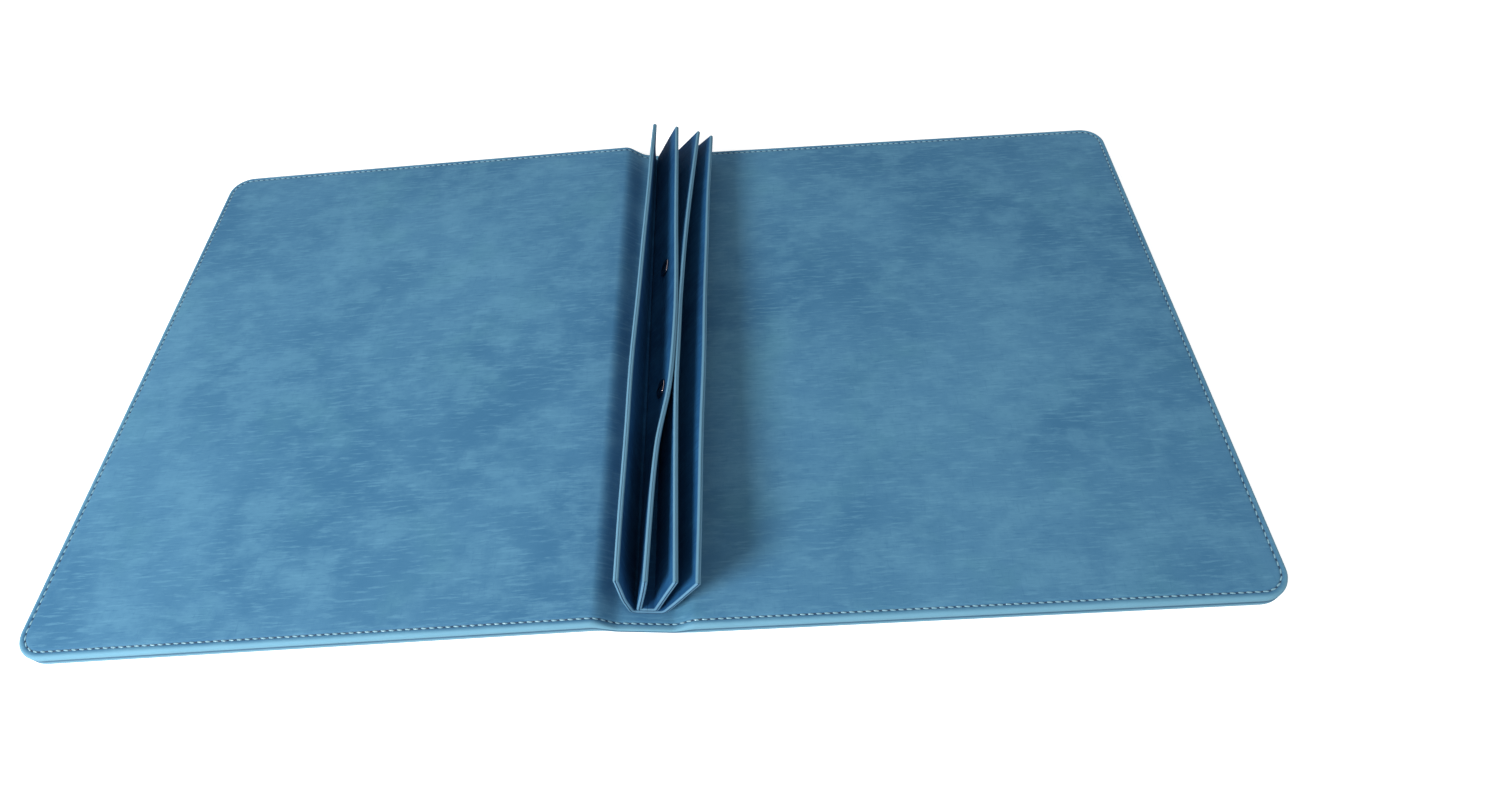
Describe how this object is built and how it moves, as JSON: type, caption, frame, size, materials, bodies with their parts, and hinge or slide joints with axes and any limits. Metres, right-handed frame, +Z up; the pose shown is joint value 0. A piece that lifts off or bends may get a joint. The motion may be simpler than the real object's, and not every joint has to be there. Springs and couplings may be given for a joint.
{
  "type": "menu cover",
  "caption": "Padded A4 menu cover lying open, with hinged covers, a soft spine, binding fins and two-part screws that hold the pages.",
  "frame": {"origin": "on the table under the middle of the spine, with the cover lying open on its face", "axes": "+X from the spine across the back cover, +Y along the spine to the top of the pages, +Z up"},
  "size_m": [0.5382, 0.306, 0.0383],
  "materials": {
    "leatherette": "matte mottled",
    "fin_leatherette": "matte mottled",
    "greyboard": "matte",
    "thread": "matte",
    "screw_metal": "dark polished"
  },
  "bodies": {
    "back_cover": {"back_outer_skin": "leatherette", "back_outer_board": "greyboard", "back_inner_board": "greyboard", "back_lining": "leatherette", "back_outside_stitching": "thread", "back_inside_stitching": "thread"},
    "spine": {"spine_outer_skin": "leatherette", "spine_lining": "leatherette", "outer_fin_channel": "fin_leatherette", "inner_fin_channel": "fin_leatherette", "screw_post_1": "screw_metal", "screw_post_2": "screw_metal", "screw_cap_1": "screw_metal", "screw_cap_2": "screw_metal"},
    "front_cover": {"front_outer_skin": "leatherette", "front_outer_board": "greyboard", "front_inner_board": "greyboard", "front_lining": "leatherette", "front_outside_stitching": "thread", "front_inside_stitching": "thread"}
  },
  "joints": [
    {"name": "back_fold", "type": "hinge", "parent": "back_cover", "child": "spine", "pos_m": [0.01311, 0, 0.00633], "axis": [0, 1, 0], "range_deg": [0, 79.1], "deforming": ["outer_fin_channel", "inner_fin_channel"]},
    {"name": "front_fold", "type": "hinge", "parent": "spine", "child": "front_cover", "pos_m": [-0.00951, 0, 0.00692], "axis": [0, 1, 0], "range_deg": [0, 104.1], "deforming": ["outer_fin_channel", "inner_fin_channel"]}
  ]
}
